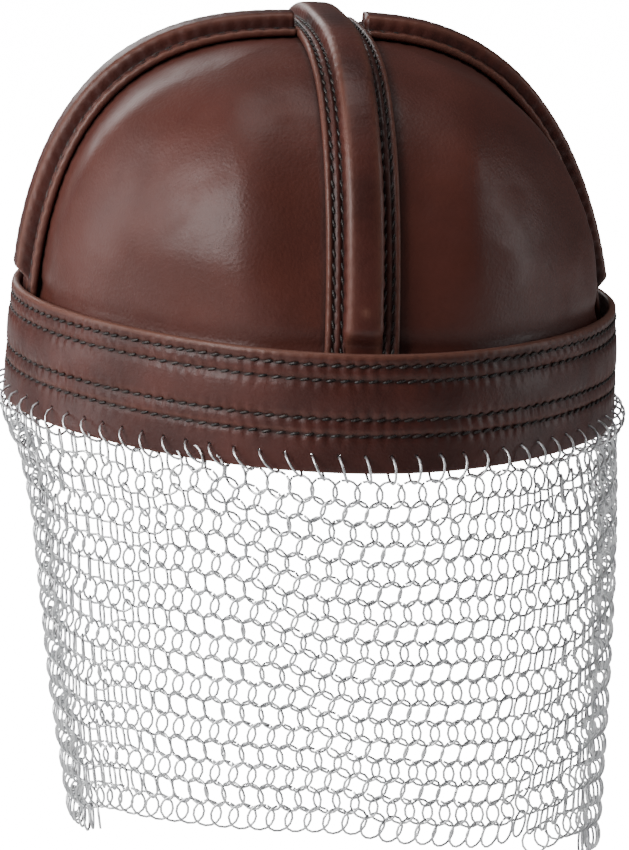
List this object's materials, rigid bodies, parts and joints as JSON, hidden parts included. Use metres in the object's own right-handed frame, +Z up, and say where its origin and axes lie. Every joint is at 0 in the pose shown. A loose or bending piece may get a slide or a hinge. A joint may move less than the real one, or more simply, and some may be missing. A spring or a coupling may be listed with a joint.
{
  "type": "chainmail helmet",
  "caption": "Leather helmet of four moulded gores with padded ridges over the seams, a stitched headband and a curtain of linked mail.",
  "frame": {"origin": "middle of the head opening, in the plane of the headband's lower edge", "axes": "+Z up, the wearer faces -Y, and the wearer's left is +X"},
  "size_m": [0.2166, 0.2342, 0.2872],
  "materials": {
    "moulded_leather": "glossy reddish brown with a fine grain",
    "strap_leather": "glossy dark brown",
    "zinc_steel": "bright zinc on round wire"
  },
  "bodies": {
    "root": {"gore_back_left": "moulded_leather", "gore_back_right": "moulded_leather", "gore_front_left": "moulded_leather", "gore_front_right": "moulded_leather", "ridge_front_back": "strap_leather", "ridge_left": "strap_leather", "ridge_right": "strap_leather", "headband": "strap_leather", "mail_curtain": "zinc_steel"}
  },
  "joints": []
}
